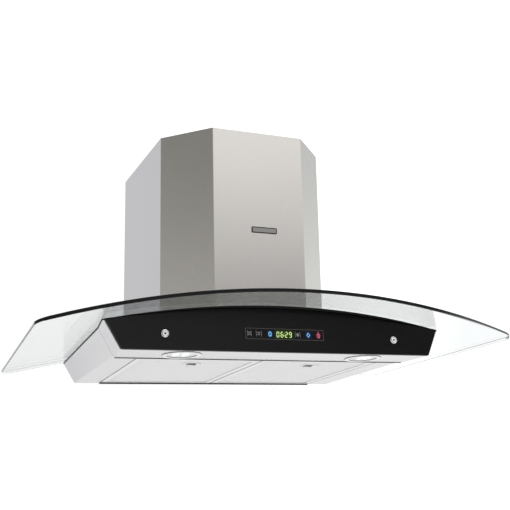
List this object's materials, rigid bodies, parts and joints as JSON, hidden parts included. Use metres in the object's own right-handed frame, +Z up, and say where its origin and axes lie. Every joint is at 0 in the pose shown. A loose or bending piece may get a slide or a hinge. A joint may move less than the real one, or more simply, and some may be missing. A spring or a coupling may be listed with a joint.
{
  "type": "range hood",
  "caption": "Wall-hung range hood with an arched glass canopy, black glass control panel, lamp strip, mesh grease filters and a steel chimney with cut-off front corners.",
  "frame": {"origin": "centre of the four wall holes, on the wall plane", "axes": "+Z up, the front faces -Y, +X to the right as seen from the front"},
  "size_m": [0.9, 0.6482, 0.4868],
  "materials": {
    "canopy_glass": "polished",
    "seal_rubber": "matte",
    "body_steel": "brushed",
    "chimney_steel": "brushed",
    "zinc_steel": "galvanised",
    "screw_steel": "polished",
    "black_glass": "gloss",
    "display": "gloss",
    "circuit_board": "satin",
    "white_plastic": "satin",
    "black_plastic": "satin",
    "lamp_chrome": "polished",
    "lamp_glass": "polished",
    "reflector": "polished",
    "bulb_glass": "polished",
    "filter_aluminium": "satin",
    "filter_mesh": "fine mesh",
    "plate_metal": "satin",
    "motor_iron": "satin",
    "capacitor_case": "gloss"
  },
  "bodies": {
    "root": {"glass_canopy": "canopy_glass", "glass_gasket": "seal_rubber", "glass_bolts": "screw_steel", "glass_washers": "screw_steel", "glass_nuts": "zinc_steel", "side_panel_left": "body_steel", "side_panel_right": "body_steel", "back_panel": "body_steel", "top_deck": "zinc_steel", "bottom_pan": "body_steel", "centre_rail": "zinc_steel", "fascia_frame": "body_steel", "lamp_strip": "body_steel", "control_panel": "black_glass", "panel_screws": "screw_steel", "panel_nuts": "zinc_steel", "display_module": "display", "control_board": "circuit_board", "board_cover": "white_plastic", "lamp_trim_left": "lamp_chrome", "lamp_trim_right": "lamp_chrome", "lamp_lens_left": "lamp_glass", "lamp_lens_right": "lamp_glass", "lamp_housing_left": "reflector", "lamp_housing_right": "reflector", "lamp_bulb_left": "bulb_glass", "lamp_bulb_right": "bulb_glass", "chimney_cover": "chimney_steel", "name_plate": "plate_metal", "chimney_bracket_left": "zinc_steel", "chimney_bracket_right": "zinc_steel", "chimney_nuts": "zinc_steel", "wall_mount": "zinc_steel", "blower_box": "zinc_steel", "volute": "black_plastic", "inlet_ring": "black_plastic", "motor_casing": "motor_iron", "motor_stator": "motor_iron", "motor_screws": "zinc_steel", "outlet_collar": "black_plastic", "collar_screws": "zinc_steel", "damper_pin": "screw_steel", "control_box": "white_plastic", "cable_gland": "black_plastic", "capacitor": "capacitor_case", "capacitor_clip": "zinc_steel"},
    "filter_left": {"filter_frame_left": "filter_aluminium", "filter_mesh_left": "filter_mesh", "pull_cup_left": "filter_aluminium"},
    "filter_right": {"filter_frame_right": "filter_aluminium", "filter_mesh_right": "filter_mesh", "pull_cup_right": "filter_aluminium"},
    "catch_left": {"filter_catch_left": "screw_steel"},
    "catch_right": {"filter_catch_right": "screw_steel"},
    "fan": {"impeller": "black_plastic", "motor_shaft": "screw_steel", "motor_rotor": "zinc_steel"},
    "flap_front": {"damper_front": "black_plastic"},
    "flap_rear": {"damper_rear": "black_plastic"}
  },
  "joints": [
    {"name": "filter_left_swing", "type": "hinge", "parent": "root", "child": "filter_left", "pos_m": [0, -0.0836, -0.24812], "axis": [1, 0, 0], "range_deg": [0, 60]},
    {"name": "catch_left_slide", "type": "slide", "parent": "filter_left", "child": "catch_left", "axis": [0, 0.9979, -0.0645], "range_m": [0, 0.006], "stiffness_N_per_m": 150},
    {"name": "filter_right_swing", "type": "hinge", "parent": "root", "child": "filter_right", "pos_m": [0, -0.0836, -0.24812], "axis": [1, 0, 0], "range_deg": [0, 60]},
    {"name": "catch_right_slide", "type": "slide", "parent": "filter_right", "child": "catch_right", "axis": [0, 0.9979, -0.0645], "range_m": [0, 0.006], "stiffness_N_per_m": 150},
    {"name": "fan_spin", "type": "hinge", "parent": "root", "child": "fan", "pos_m": [0, -0.152, -0.028], "axis": [1, 0, 0], "continuous": true},
    {"name": "flap_front_swing", "type": "hinge", "parent": "root", "child": "flap_front", "pos_m": [0, -0.2185, 0.113], "axis": [-1, 0, 0], "range_deg": [0, 75]},
    {"name": "flap_rear_swing", "type": "hinge", "parent": "root", "child": "flap_rear", "pos_m": [0, -0.2185, 0.113], "axis": [1, 0, 0], "range_deg": [0, 75]}
  ],
  "couplings": [
    {"joint": "flap_rear_swing", "follows": "flap_front_swing", "ratio": 1}
  ]
}
